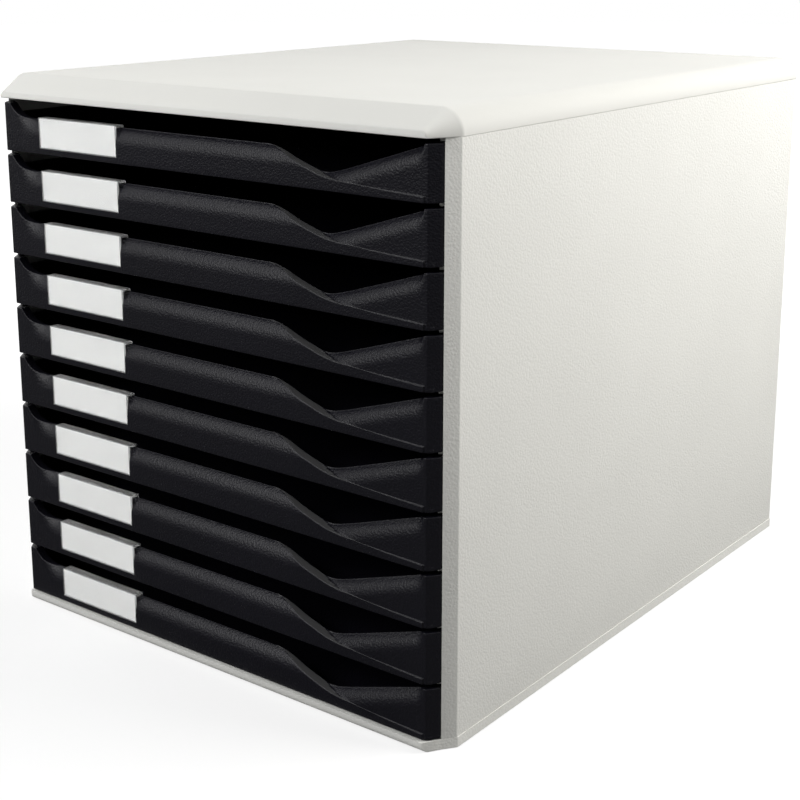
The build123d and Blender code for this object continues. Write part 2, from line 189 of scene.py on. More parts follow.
links.new(seen.outputs[0], glow_power.inputs[1])
glow = nodes.new("ShaderNodeEmission")
links.new(glow_power.outputs[0], glow.inputs["Strength"])
dull = nodes.new("ShaderNodeBsdfDiffuse")
dull.inputs["Color"].default_value = (PAPER_GREY, PAPER_GREY, PAPER_GREY, 1.0)
both = nodes.new("ShaderNodeAddShader")
links.new(dull.outputs[0], both.inputs[0])
links.new(glow.outputs[0], both.inputs[1])
out = nodes.new("ShaderNodeOutputMaterial")
links.new(both.outputs[0], out.inputs["Surface"])
floor_mesh.materials.append(paper)
print("floor radius", FLOOR_RADIUS, "m")

# %% [markdown]
# Moulded plastic of this kind has a fine pebble grain etched into the mould. A Voronoi pattern
# gives the pebbles, a little noise bends their edges so that no two are alike, and a Bump node
# turns the height into light and shade. The same helper serves the light cabinet and the dark
# drawers, each with its own pebble size and depth.


# %% Grained plastic
def wired(tree, kind, settings=(), **inputs):
    """A node of the kind, with settings as attributes and inputs as values or links."""
    node = tree.nodes.new(kind)
    for key, value in dict(settings).items():
        setattr(node, key, value)
    for key, value in inputs.items():
        socket = node.inputs[key.replace("_", " ")]
        if isinstance(value, bpy.types.NodeSocket):
            tree.links.new(value, socket)
        else:
            socket.default_value = value
    return node


def grained_plastic(name, colour, roughness, specular, pebble, depth, patch):
    """Principled plastic whose bump height is the smooth distance to the nearest pebble centre
    plus fine noise; pebble is their spacing and depth their height, in millimetres. The colour
    drifts by the share patch over about 60 mm, and the roughness with the pebbles. Where the
    mesh has the smooth-band attribute, the grain fades out and the colour turns paler, a painted
    sheen for the light that the smooth band catches."""
    material = bpy.data.materials.new(name)
    material.use_nodes = True
    tree = material.node_tree
    shader = tree.nodes["Principled BSDF"]
    place = wired(tree, "ShaderNodeTexCoord").outputs["Object"]
    bend = wired(tree, "ShaderNodeTexNoise", Vector=place, Scale=600.0 / pebble, Detail=1.0)
    bent = wired(tree, "ShaderNodeVectorMath", {"operation": "MULTIPLY_ADD"})
    tree.links.new(bend.outputs["Color"], bent.inputs[0])
    bent.inputs[1].default_value = (0.0006 * pebble,) * 3
    tree.links.new(place, bent.inputs[2])
    cells = wired(tree, "ShaderNodeTexVoronoi", {"feature": "SMOOTH_F1"}, Vector=bent.outputs[0],
                  Scale=1000.0 / pebble, Smoothness=0.6)
    fine = wired(tree, "ShaderNodeTexNoise", Vector=place, Scale=2600.0 / pebble, Detail=2.0)
    height = wired(tree, "ShaderNodeMath", {"operation": "MULTIPLY_ADD"})
    tree.links.new(fine.outputs["Fac"], height.inputs[0])
    height.inputs[1].default_value = 0.3
    tree.links.new(cells.outputs["Distance"], height.inputs[2])
    smooth_and_painted_sheen = wired(tree, "ShaderNodeAttribute", {"attribute_name": "smooth_and_painted_sheen"}).outputs["Fac"]
    coarse = wired(tree, "ShaderNodeMapRange", Value=smooth_and_painted_sheen)
    coarse.inputs["To Min"].default_value = 1.0
    coarse.inputs["To Max"].default_value = 0.05
    bump = wired(tree, "ShaderNodeBump", {"invert": True}, Height=height.outputs[0],
                 Strength=coarse.outputs["Result"], Distance=0.001 * depth)
    tree.links.new(bump.outputs["Normal"], shader.inputs["Normal"])
    drift = wired(tree, "ShaderNodeTexNoise", Vector=place, Scale=16.0, Detail=3.0)
    ramp = wired(tree, "ShaderNodeValToRGB", Fac=drift.outputs["Fac"])
    ramp.color_ramp.elements[0].position = 0.3
    ramp.color_ramp.elements[1].position = 0.7
    ramp.color_ramp.elements[0].color = (*[c * (1.0 - patch) for c in colour], 1.0)
    ramp.color_ramp.elements[1].color = (*[min(1.0, c * (1.0 + patch)) for c in colour], 1.0)
    mixed = tree.nodes.new("ShaderNodeMix")
    mixed.data_type = "RGBA"
    tree.links.new(smooth_and_painted_sheen, mixed.inputs[0])
    tree.links.new(ramp.outputs["Color"], mixed.inputs[6])
    # Where the smooth-band attribute is set, this paler colour is a painted sheen on the drawers' flat
    # band.
    mixed.inputs[7].default_value = (*[0.9 * c + 0.085 for c in colour], 1.0)
    tree.links.new(mixed.outputs[2], shader.inputs["Base Color"])
    rough = wired(tree, "ShaderNodeMapRange", Value=cells.outputs["Distance"])
    rough.inputs["To Min"].default_value = roughness - 0.06
    rough.inputs["To Max"].default_value = roughness + 0.08
    tree.links.new(rough.outputs["Result"], shader.inputs["Roughness"])
    shader.inputs["Specular IOR Level"].default_value = specular
    return material


WARM_WHITE = (0.80, 0.80, 0.765)
NEAR_BLACK = (0.0042, 0.0040, 0.0066)

cabinet_plastic = grained_plastic("cabinet_plastic", WARM_WHITE, 0.5, 0.3, 1.2, 0.14, 0.015)
lid_plastic = grained_plastic("lid_plastic", WARM_WHITE, 0.55, 0.2, 0.9, 0.006, 0.012)
drawer_plastic = grained_plastic("drawer_plastic", NEAR_BLACK, 0.35, 0.13, 0.95, 0.17, 0.12)
print("plastics:", cabinet_plastic.name, lid_plastic.name, drawer_plastic.name)

# %% [markdown]
# The label holder is clear plastic, seen mostly by its bright edges. Light has to pass through
# it, so it uses transmission and not a grey colour. The card is plain matt paper with a faint
# fibre in it, and the feet are dull rubber.

# %% Clear plastic, card and rubber
holder_clear = bpy.data.materials.new("holder_clear")
holder_clear.use_nodes = True
tree = holder_clear.node_tree
shader = tree.nodes["Principled BSDF"]
shader.inputs["Base Color"].default_value = (0.97, 0.975, 0.975, 1.0)
shader.inputs["Transmission Weight"].default_value = 0.84
shader.inputs["IOR"].default_value = 1.46
place = wired(tree, "ShaderNodeTexCoord").outputs["Object"]
haze = wired(tree, "ShaderNodeTexNoise", Vector=place, Scale=180.0, Detail=2.0)
rough = wired(tree, "ShaderNodeMapRange", Value=haze.outputs["Fac"])
rough.inputs["To Min"].default_value = 0.12
rough.inputs["To Max"].default_value = 0.24
tree.links.new(rough.outputs["Result"], shader.inputs["Roughness"])

label_card = bpy.data.materials.new("label_card")
label_card.use_nodes = True
tree = label_card.node_tree
shader = tree.nodes["Principled BSDF"]
place = wired(tree, "ShaderNodeTexCoord").outputs["Object"]
fibre = wired(tree, "ShaderNodeTexNoise", Vector=place, Scale=900.0, Detail=4.0, Distortion=1.5)
ramp = wired(tree, "ShaderNodeValToRGB", Fac=fibre.outputs["Fac"])
ramp.color_ramp.elements[0].color = (0.90, 0.90, 0.88, 1.0)
ramp.color_ramp.elements[1].color = (0.95, 0.95, 0.935, 1.0)
tree.links.new(ramp.outputs["Color"], shader.inputs["Base Color"])
bump = wired(tree, "ShaderNodeBump", Height=fibre.outputs["Fac"], Strength=0.4, Distance=0.00003)
tree.links.new(bump.outputs["Normal"], shader.inputs["Normal"])
shader.inputs["Roughness"].default_value = 0.85

foot_rubber = bpy.data.materials.new("foot_rubber")
foot_rubber.use_nodes = True
tree = foot_rubber.node_tree
shader = tree.nodes["Principled BSDF"]
place = wired(tree, "ShaderNodeTexCoord").outputs["Object"]
dust = wired(tree, "ShaderNodeTexNoise", Vector=place, Scale=1400.0, Detail=3.0)
ramp = wired(tree, "ShaderNodeValToRGB", Fac=dust.outputs["Fac"])
ramp.color_ramp.elements[0].color = (0.030, 0.030, 0.030, 1.0)
ramp.color_ramp.elements[1].color = (0.055, 0.055, 0.054, 1.0)
tree.links.new(ramp.outputs["Color"], shader.inputs["Base Color"])
bump = wired(tree, "ShaderNodeBump", Height=dust.outputs["Fac"], Strength=0.5, Distance=0.00005)
tree.links.new(bump.outputs["Normal"], shader.inputs["Normal"])
shader.inputs["Roughness"].default_value = 0.8
print("finishes:", holder_clear.name, label_card.name, foot_rubber.name)

# %% [markdown]
# Every shape below is a stack of outlines: rows of points with the same number of points in
# each. Neighbouring rows are joined with four-sided faces and the first and last row are closed
# with one flat face each. A piece may hold several such closed shells in one mesh.


# %% Outlines and shells
def soften(outline, reach, steps=4):
    """A closed outline (..., corners, 2) with each corner replaced by a short curve. With a and b
    the points at distance reach before and after the corner c, the curve is
    (1-t)^2 a + 2t(1-t) c + t^2 b for t from 0 to 1."""
    outline = np.asarray(outline, dtype=float)
    reach = np.broadcast_to(reach, outline.shape[:-1])

    def towards(neighbour):
        side = neighbour - outline
        length = np.maximum(np.linalg.norm(side, axis=-1, keepdims=True), 1e-9)
        return outline + side / length * np.minimum(reach[..., None], 0.45 * length)

    a = towards(np.roll(outline, 1, axis=-2))[..., None, :]
    b = towards(np.roll(outline, -1, axis=-2))[..., None, :]
    c = outline[..., None, :]
    t = np.linspace(0.0, 1.0, steps + 1)[:, None]
    curve = (1 - t) ** 2 * a + 2 * t * (1 - t) * c + t**2 * b
    return curve.reshape(outline.shape[:-2] + (-1, 2))


def inset(outline, distance):
    """A closed outline (points, 2), anticlockwise, moved inwards by each distance. Each point
    moves along the sum of its two sides' inward normals, divided by one plus their product."""
    side = np.roll(outline, -1, axis=0) - outline
    side = side / np.linalg.norm(side, axis=1, keepdims=True)
    after = np.stack([-side[:, 1], side[:, 0]], axis=1)
    before = np.roll(after, 1, axis=0)
    move = (before + after) / (1.0 + (before * after).sum(axis=1, keepdims=True))
    return outline + np.reshape(distance, (-1, 1, 1)) * move


def shell(rows):
    """Points and faces of a closed shell over rows of points (rows, points, 3): four-sided faces
    between neighbouring points of neighbouring rows, and one face over each end row."""
    count, width = rows.shape[:2]
    r = np.arange(count - 1)[:, None] * width
    c = np.arange(width)[None, :]
    after = (c + 1) % width
    quads = np.stack([r + c, r + after, r + width + after, r + width + c], axis=-1).reshape(-1, 4)
    ends = [list(range(width - 1, -1, -1)), list(range((count - 1) * width, count * width))]
    return rows.reshape(-1, 3), quads.tolist() + ends


def slab(corners, z0, z1, edge, reach):
    """An upright slab over an outline, its corners softened by reach and its upper and lower
    edges rounded: at turn u the outline lies edge * (1 - sin u) inside and edge * (1 - cos u)
    from the face."""
    turn = np.linspace(0.0, np.pi / 2, 4)
    inside = edge * (1.0 - np.sin(turn))
    rise = edge * (1.0 - np.cos(turn))
    distance = np.concatenate([inside, inside[::-1]])
    height = np.concatenate([z0 + rise, z1 - rise[::-1]])
    plan = soften(inset(corners, distance), reach)
    z = np.broadcast_to(height[:, None, None], plan.shape[:2] + (1,))
    return shell(np.concatenate([plan, z], axis=2))


def box_plan(x0, x1, y0, y1):
    return np.array([(x0, y0), (x1, y0), (x1, y1), (x0, y1)], dtype=float)


def mirrored_shell(part):
    """The same shell on the other side of the middle plane."""
    points, faces = part
    return points * (-1.0, 1.0, 1.0), faces


def make_piece(name, parts, material, nodes, body, sharp=32.0, shift=(0.0, 0.0, 0.0)):
    """One mesh of all the parts, in metres. Points closer than 0.02 mm are merged, and each
    closed shell's faces are then turned outwards."""
    sizes = np.cumsum([0] + [len(points) for points, faces in parts])
    points = (np.concatenate([points for points, faces in parts]) + shift) * 0.001
    faces = [[i + start for i in face] for start, (_, faces) in zip(sizes, parts) for face in faces]
    mesh = bpy.data.meshes.new(name)
    mesh.from_pydata(points.tolist(), [], faces)
    work = bmesh.new()
    work.from_mesh(mesh)
    bmesh.ops.remove_doubles(work, verts=work.verts, dist=0.00002)
    bmesh.ops.dissolve_degenerate(work, edges=work.edges, dist=0.000005)
    bmesh.ops.recalc_face_normals(work, faces=work.faces)
    work.to_mesh(mesh)
    work.free()
    mesh.materials.append(material)
    mesh.shade_smooth()
    mesh.set_sharp_from_angle(angle=math.radians(sharp))
    piece = bpy.data.objects.new(name, mesh)
    scene.collection.objects.link(piece)
    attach(piece, body)
    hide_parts(*nodes)
    return piece


print("a softened square has", len(soften(box_plan(0, 1, 0, 1), 0.1)), "points")

# %% [markdown]
# The sizes repeat the drawing's. The cabinet's front corners are cut off by one bevel that the
# lid, the walls, the base and the drawers' ends all share, so it is written once as a function.

# %% Sizes
HALF_WIDTH = 145.5
FRONT_Y = -176.0
REAR_Y = 176.0
DRAWER_FRONT_Y = -174.5
FRONT_HALF = 135.6
FOOT_DROP = 0.2
BASE_TOP = 5.4
COVER_Z = 279.0
COVER_HEIGHT = 12.0
PITCH = 27.3
FIRST_Z = 6.0
DRAWERS = 10
PANEL_OUTER = 145.2
PANEL_INNER = 142.6
POST_INNER = 140.55
REAR_INNER = 173.5
PANEL_REAR = 175.7
RIB_INNER = 137.45


def bevel(x):
    """The front corner's bevel: 6.55 mm back for every 4.95 mm outwards from the flat front."""
    return DRAWER_FRONT_Y + (np.abs(x) - FRONT_HALF) * 6.55 / 4.95


print("the bevel runs back to y =", round(float(bevel(HALF_WIDTH)), 2))

# %% [markdown]
# The lid is a shell. Seen from the front it is a flat top with quarter-round sides. Towards the
# front it becomes lower and narrower in straight lines until it is a low upright strip, which
# makes the slope above the drawers and the soft facet at each corner. One row of points runs
# round the section, and the rows follow each other from front to rear.


# %% Top cover
SLOPE_LENGTH = 14.8
SLOPE_BEND = 0.9
LID_EDGE = 0.5
LID_LENGTH = 352.0
HOLLOW_FRONT = 4.2
HOLLOW_REAR = 347.9


def lid_outline(side, radius, top):
    """Half a section from the side's foot to the middle: a small curve at the foot, up the side,
    and round by radius on to the flat top."""
    foot = np.linspace(0.0, np.pi / 2, 4)
    turn = np.linspace(0.0, np.pi / 2, 17)
    x = np.concatenate([side - 0.3 + 0.3 * np.sin(foot), side - radius + radius * np.cos(turn)])
    z = np.concatenate([0.3 - 0.3 * np.cos(foot), top - radius + radius * np.sin(turn)])
    return np.stack([x, z], axis=1)


def lid_rows():
    """Sections at stations along y. With s running from 0 at the front strip to 1 at the shoulder,
    a section is (1 - s) times the strip's outline plus s times the full one. Near the shoulder s
    bends over along a parabola, which rounds the slope's upper edge. At both ends the section
    shrinks by e = r - sqrt(r^2 - d^2), a quarter circle of radius LID_EDGE."""
    y = np.concatenate([
        [0.0, 0.08, 0.25, 0.5, 0.9], np.linspace(1.8, 4.1, 3), [4.25], np.linspace(5.0, 13.6, 8),
        np.linspace(13.9, 15.7, 9), [17.5, 24.0], np.linspace(60.0, 320.0, 5),
        [347.8, 348.0, 351.0, 351.5, 351.75, 351.92, 352.0],
    ])
    q = y / SLOPE_LENGTH
    w = SLOPE_BEND / SLOPE_LENGTH
    s = np.where(q < 1 - w, q, np.where(q > 1 + w, 1.0, 1.0 - (1 + w - q) ** 2 / (4 * w)))
    s = s[:, None, None]
    strip = lid_outline(FRONT_HALF + 1.2, 2.7, 3.2)
    outer = (1 - s) * strip + s * lid_outline(HALF_WIDTH, 11.5, COVER_HEIGHT)
    from_end = np.clip(np.maximum(LID_EDGE - y, y - LID_LENGTH + LID_EDGE), 0.0, LID_EDGE)
    shrink = LID_EDGE - np.sqrt(LID_EDGE**2 - from_end**2)[:, None, None]
    extent = outer.max(axis=1, keepdims=True)
    outer = outer * (extent - shrink * (1.0, 2.0)) / extent + shrink * (0.0, 1.0)
    open_up = np.clip((y - HOLLOW_FRONT) / 13.0, 0.0, 1.0)[:, None, None]
    inner = lid_outline(HALF_WIDTH - 4.0, 7.0, 9.5) * ((0.94, 0.12) + open_up * (0.06, 0.88))
    hollow = ((y > HOLLOW_FRONT) & (y < HOLLOW_REAR))[:, None, None]
    inner = np.where(hollow, inner, inner * (1.0, 0.0) + shrink * (0.0, 1.0))
    other_side = (-1.0, 1.0)
    outside = [outer, outer[:, ::-1] * other_side]
    loop = np.concatenate(outside + [inner * other_side, inner[:, ::-1]], axis=1)
    depth = np.broadcast_to((y + FRONT_Y)[:, None, None], loop.shape[:2] + (1,))
    return np.concatenate([loop[..., :1], depth, loop[..., 1:] + COVER_Z], axis=2)


lid = make_piece("cover_skin", [shell(lid_rows())], lid_plastic, ["top_cover"], "cabinet")
print("cover faces:", len(lid.data.polygons))

# %% [markdown]
# The base is a shallow pan. Its front has a large round lower edge that runs straight through
# the bevels, so the sides reach further down than the front. In front of the drawers it stands
# out as a narrow ledge, which tapers to nothing along each bevel and lies flush under the walls'
# posts. The rows go up the outside, over the rim and down into the pan.


# %% Base pan
BASE_ROUND = 3.6
BASE_EDGE = 0.4
LEDGE_STEP = 0.03


def base_outline(front):
    """The base from above, anticlockwise from the front left, with its front face at y = front.
    The front corners slide back along the ledge's bevel, then along the posts' bevel."""
    ledge = (bevel(POST_INNER) - LEDGE_STEP - FRONT_Y) / (POST_INNER - FRONT_HALF)
    corner = min(FRONT_HALF + (front - FRONT_Y) / ledge, POST_INNER - 0.2)
    half = [
        (corner, front), (POST_INNER, bevel(POST_INNER) - LEDGE_STEP),
        (HALF_WIDTH, bevel(HALF_WIDTH) - LEDGE_STEP), (HALF_WIDTH, REAR_Y),
    ]
    return np.array(half + [(-x, y) for x, y in half[::-1]])


def base_rows():
    """Outside: below the height c of its centre, a quarter round of radius r takes the front
    back by r - sqrt(r^2 - (c - z)^2). The other lower edges have a round of radius BASE_EDGE,
    worked out in the same way. Inside: a smaller outline down to the floor."""
    radius = BASE_ROUND
    turn = np.linspace(0.0, np.pi / 2, 7)
    low = FOOT_DROP + radius * (1.0 - np.cos(turn[1:]))
    edge = FOOT_DROP + BASE_EDGE * (1.0 - np.cos(turn))
    height = np.unique(np.round(np.concatenate([edge, low, [BASE_TOP]]), 4))
    depth = np.clip(FOOT_DROP + radius - height, 0.0, radius)
    front = FRONT_Y + radius - np.sqrt(radius**2 - depth**2)
    from_foot = np.clip(BASE_EDGE - (height - FOOT_DROP), 0.0, BASE_EDGE)
    inside = BASE_EDGE - np.sqrt(np.maximum(BASE_EDGE**2 - from_foot**2, 0.0))
    outside = np.stack([inset(base_outline(y), np.array([d]))[0] for y, d in zip(front, inside)])
    outside = soften(outside, 0.35)
    pan = np.array([
        (132.0, -170.0), (135.4, -168.0), (135.6, -166.0), (135.6, 170.0),
        (-135.6, 170.0), (-135.6, -166.0), (-135.4, -168.0), (-132.0, -170.0),
    ])
    hollow = soften(inset(pan, np.array([0.0, 0.2, 1.2])), 2.0)
    plan = np.concatenate([outside, hollow])
    height = np.concatenate([height, [BASE_TOP, BASE_TOP - 0.2, 3.2]])
    z = np.broadcast_to(height[:, None, None], plan.shape[:2] + (1,))
    return np.concatenate([plan, z], axis=2)


rail = slab(box_plan(RIB_INNER, PANEL_INNER - 0.2, -157.4, 170.1), BASE_TOP - 0.1, 5.7, 0.08, 0.3)
base = make_piece("base_skin", [shell(base_rows()), rail, mirrored_shell(rail)], cabinet_plastic,
                  ["base"], "cabinet")
print("base faces:", len(base.data.polygons))

# %% [markdown]
# Each side panel is one upright slab: thin, with a thicker post behind the bevel at its front.
# Inside it carries ten runner ribs, and a small stop nub hangs below each of them.


# %% Side and rear panels
RIB_SET_BACK = 5.0
RIB_THICK = 1.6
POST_DEPTH = 4.0
TONGUE = 0.6


def side_panel_parts():
    """The wall, its ribs and its nubs on the right-hand side, each one a closed slab."""
    post_back = bevel(PANEL_OUTER) + POST_DEPTH
    wall = np.array([
        (POST_INNER, bevel(POST_INNER)), (PANEL_OUTER, bevel(PANEL_OUTER)), (PANEL_OUTER, PANEL_REAR),
        (PANEL_INNER, PANEL_REAR), (PANEL_INNER, REAR_INNER), (PANEL_INNER - 3.0, REAR_INNER),
        (PANEL_INNER - 3.0, REAR_INNER - 3.0), (PANEL_INNER, REAR_INNER - 3.0),
        (PANEL_INNER, post_back), (POST_INNER, post_back),
    ])
    parts = [slab(wall, BASE_TOP - TONGUE, COVER_Z + TONGUE, 0.25, 0.45)]
    root = (PANEL_INNER + PANEL_OUTER) / 2
    rib = np.array([
        (RIB_INNER, bevel(RIB_INNER) + RIB_SET_BACK), (root, bevel(root) + RIB_SET_BACK),
        (root, REAR_INNER - 0.1), (RIB_INNER, REAR_INNER - 0.1),
    ])
    nub = box_plan(137.95, root, -91.8, -87.8)
    for level in range(1, DRAWERS + 1):
        foot = FIRST_Z + level * PITCH - 1.9
        parts.append(slab(rib, foot, foot + RIB_THICK, 0.2, 0.4))
        parts.append(slab(nub, foot - 3.0, foot + 0.8, 0.3, 0.6))
    return parts


right_parts = side_panel_parts()
right_panel = make_piece("right_wall", right_parts, cabinet_plastic, ["right_side_panel"], "cabinet")
make_piece("left_wall", [mirrored_shell(part) for part in right_parts], cabinet_plastic,
           ["left_side_panel"], "cabinet")
rear_plan = box_plan(-PANEL_INNER, PANEL_INNER, REAR_INNER, PANEL_REAR)
make_piece("rear_wall", [slab(rear_plan, BASE_TOP, COVER_Z, 0.3, 0.3)], cabinet_plastic,
           ["rear_panel"], "cabinet")
print("side panel faces:", len(right_panel.data.polygons))

# %% [markdown]
# The feet are thin round pads pressed into the underside. A circle is drawn in and rounded at
# its lower edge, the same slab as before over a round outline.


# %% Feet
turn = np.linspace(0.0, 2.0 * np.pi, 48, endpoint=False)
pads = [
    slab(np.stack([x + 7.0 * np.cos(turn), y + 7.0 * np.sin(turn)], axis=1), 0.0, 1.6, 0.3, 0.1)
    for x in (-111.5, 111.5) for y in (-140.0, 140.0)
]
make_piece("foot_pads", pads, foot_rubber, ["feet"], "cabinet")
print("feet:", len(pads))

# %% [markdown]
# A drawer front is one skin that runs from the left end block to the right one. Seen from the
# side it stands upright and rolls back at its top. Seen from the front its top edge falls from
# the left end, stays level past the label, sweeps down into the grip and climbs again. The sweep
# cuts through the roll and leaves a flat band, which runs out to the right as a thin lip, and a
# second rolled wall rises behind that band. Each row of points is one section from front to back.


# %% Curves of the drawer front
CHEEK_TOP = 24.9
LEVEL_TOP = 17.45
ROLL_RADIUS = 9.64
ROLL_HEIGHT = 8.45
ROLL_DEPTH = 5.0
SWEEP_START = 40.0
LIP_END = 134.5
SKIN = 2.2
BACK_EDGE = 0.35
POCKET = (-109.6, -52.3)
POCKET_DEPTH = 1.2
POCKET_SILL = 2.9
SWEEP = [(40.0, 17.45), (45.0, 17.4), (53.5, 15.4), (61.6, 12.1), (69.5, 9.4), (78.4, 6.7),
         (84.5, 5.65), (96.4, 4.75), (111.3, 3.8), (134.5, 2.8)]


def ease(x, start, end):
    """0 before start, 1 after end, and 3t^2 - 2t^3 between them."""
    t = np.clip((x - start) / (end - start), 0.0, 1.0)
    return t * t * (3.0 - 2.0 * t)


def soft_max(a, b, k):
    """The larger of a and b, with the corner between them rounded over about k."""
    return (a + b + np.sqrt((a - b) ** 2 + k * k)) / 2.0


def through(points, x):
    """Piecewise cubic through the points. Its slopes are those of the neighbours' parabola, and
    between two points it is the sum of heights and slopes weighted by the Hermite cubics."""
    px, pz = np.array(points).T
    slope = np.gradient(pz, px)
    slope[0] = 0.0
    i = np.clip(np.searchsorted(px, x) - 1, 0, len(px) - 2)
    h = px[i + 1] - px[i]
    t = np.clip((x - px[i]) / h, 0.0, 1.0)
    return ((1 + 2 * t) * (1 - t) ** 2 * pz[i] + t * (1 - t) ** 2 * h * slope[i]
            + t * t * (3 - 2 * t) * pz[i + 1] + t * t * (t - 1) * h * slope[i + 1])


def front_edge(x):
    """Height of the front skin's crease: level, with a power curve up to the left end block and
    the sweep down to the lip on the right."""
    rise = 7.45 * np.clip((-114.5 - x) / 17.0, 0.0, 1.0) ** 3.0
    return np.where(x < SWEEP_START, LEVEL_TOP + rise, through(SWEEP, x))


def ramp_edge(x):
    """Height of the second wall's top: a straight climb from the dip, eased up to the end block."""
    climb = 0.32
    end_rise = 0.6 * ease(x, LIP_END - 2.0, LIP_END)
    return 6.7 + climb * (x - 79.5) + end_rise - climb * np.clip(x - LIP_END, 0.0, None)


def roll(rise):
    """Depth of the roll at a height above its start: r - sqrt(r^2 - rise^2), which reaches
    ROLL_DEPTH at ROLL_HEIGHT."""
    return ROLL_RADIUS - np.sqrt(ROLL_RADIUS**2 - np.clip(rise, 0.0, ROLL_HEIGHT) ** 2)


grip_x = np.arange(60.0, 100.0)
grip_z = np.maximum(front_edge(grip_x), ramp_edge(grip_x))
print("lowest point of the grip:", round(float(grip_z.min()), 2))


# %% Skin of the drawer front
def stations():
    """Places along the front, close together where its edges bend."""
    return np.concatenate([
        [-140.25, -140.2, -140.05, -139.8, -139.2, -138.0, -137.3, -136.9],
        np.linspace(-136.3, -134.9, 8), [-133.0], np.linspace(-131.6, -112.0, 34),
        [-109.8, -109.68, -109.52, -105.0, -90.0, -70.0, -56.0],
        [-52.38, -52.22, -50.0, -30.0, -10.0, 10.0, 25.0],
        np.linspace(36.0, LIP_END, 110), [135.1], np.linspace(135.5, 136.9, 8),
        [137.3, 138.0, 139.2, 139.8, 140.05, 140.2, 140.25],
    ])


def bend(a, c, b, steps=4):
    """A corner c eased between a and b: (1-t)^2 a + 2t(1-t) c + t^2 b, for every station at once."""
    t = np.linspace(0.0, 1.0, steps + 1)[None, :, None]
    a, c, b = (np.stack(np.broadcast_arrays(*p), axis=-1)[:, None, :] for p in (a, c, b))
    return (1 - t) ** 2 * a + 2 * t * (1 - t) * c + t**2 * b


def front_rows():
    """Sections (depth, height) at every station. They climb the front skin to its crease, cross
    the flat band, climb the second wall and go down behind it."""
    x = stations()
    crease = front_edge(x)
    gap = (ramp_edge(x) - crease) / 1.5
    top = crease + 1.5 * np.log1p(np.exp(np.clip(gap, -30.0, 30.0))) * (x > SWEEP_START)
    top = np.where(x > LIP_END, CHEEK_TOP, np.minimum(top, CHEEK_TOP))
    start = np.where(x < -114.5, crease - ROLL_HEIGHT, LEVEL_TOP - ROLL_HEIGHT)
    end_line = (np.abs(x) - FRONT_HALF) * 6.55 / 4.95
    set_back = 0.8 * np.clip((x - 94.0) / 40.0, 0.0, 1.0)
    lip = x < LIP_END + 0.03
    left_flat = ease(x, -128.0, -112.0)
    right_flat = 1.0 - ease(x, 130.5, 135.0)
    face = soft_max(np.where(lip, 0.0, 0.8), end_line, 0.3) - 0.3**2 / 200.0
    wall = soft_max(set_back, end_line, 0.3)
    back = ROLL_DEPTH + 4.0 * ease(np.abs(x), 137.0, 137.7)
    pocket = np.where((x > POCKET[0]) & (x < POCKET[1]), POCKET_DEPTH, 0.0)

    def skin(z):
        return face[:, None] + left_flat[:, None] * roll(z - start[:, None]) * lip[:, None]

    def second(z):
        deep = right_flat * (ROLL_DEPTH - set_back) / ROLL_DEPTH
        full = wall[:, None] + deep[:, None] * roll(z - (top - ROLL_HEIGHT)[:, None])
        return np.minimum(full, (back - BACK_EDGE)[:, None])

    def rows(y, z):
        return np.stack(np.broadcast_arrays(y, z), axis=-1)

    sill = POCKET_SILL * np.sqrt(np.minimum(crease, LEVEL_TOP) / LEVEL_TOP)
    foot_y = face
    r = np.minimum(0.45, 0.2 * crease)
    parts = [bend((foot_y + 0.4, 0.0 * x), (foot_y, 0.0 * x), (foot_y, 0.4 + 0.0 * x))]
    parts.append(rows(foot_y[:, None], sill[:, None]))
    t = np.linspace(0.0, 1.0, 24)[None, :-1]
    low = (sill + 0.1)[:, None]
    z = low + ((crease - r)[:, None] - low) * t
    parts.append(rows(np.maximum(skin(z), foot_y[:, None] + pocket[:, None]), z))
    under = np.maximum(skin((crease - r)[:, None])[:, 0], foot_y + pocket)
    edge_y = np.minimum(np.maximum(skin(crease[:, None])[:, 0], foot_y + pocket), back - 0.8)
    band_y = np.maximum(np.minimum(second(crease[:, None])[:, 0], back - BACK_EDGE), edge_y)
    ahead = np.minimum(r, 0.45 * (band_y - edge_y))
    below = (np.minimum(under, edge_y), crease - r)
    parts.append(bend(below, (edge_y, crease), (edge_y + ahead, crease)))
    soft = 0.3 + 3.0 * np.exp(-(((x - 82.0) / 9.0) ** 2))
    near = np.minimum(soft, 0.5 * (band_y - edge_y))
    above = np.minimum(soft, 0.45 * (top - crease))
    climb = crease + above
    parts.append(bend((band_y - near, crease), (band_y, crease), (second(climb[:, None])[:, 0], climb)))
    t = np.linspace(0.0, 1.0, 14)[None, 1:-1]
    high = np.maximum(top - 0.4, climb)
    z = climb[:, None] + (high - climb)[:, None] * t
    parts.append(rows(second(z), z))
    last = np.maximum(second(top[:, None])[:, 0], edge_y)
    room = np.minimum(0.4, 0.5 * np.maximum(back - BACK_EDGE - last, 0.0))
    below = (np.maximum(second(high[:, None])[:, 0], edge_y), high)
    parts.append(bend(below, (last, top), (last + room, top)))
    parts.append(bend((back - BACK_EDGE, top), (back, top), (back, top - BACK_EDGE)))
    t = np.linspace(1.0, 0.0, 12)[None, :]
    z = (top - SKIN)[:, None] * t
    solid = np.maximum(ease(-x, 130.5, 131.5), ease(x, 133.5, 134.5))[:, None]
    thin = np.maximum(np.maximum(skin(z), foot_y[:, None] + pocket[:, None]), second(z)) + SKIN
    inner = np.minimum(thin * (1 - solid) + back[:, None] * solid, back[:, None])
    parts.append(rows(inner, z))
    loop = np.concatenate(parts, axis=1)
    from_end = np.clip(np.abs(x) - 139.75, 0.0, 0.5)
    shrink = (0.5 - np.sqrt(0.25 - from_end**2))[:, None]
    share = (loop[..., 0] - foot_y[:, None]) / (back - foot_y)[:, None]
    y = loop[..., 0] + shrink * (1.0 - 2.0 * np.clip(share, 0.0, 1.0))
    z = shrink + loop[..., 1] * (top[:, None] - 2.0 * shrink) / top[:, None]
    return np.stack([np.broadcast_to(x[:, None], y.shape), y, z], axis=-1)


print("front skin rows:", front_rows().shape)

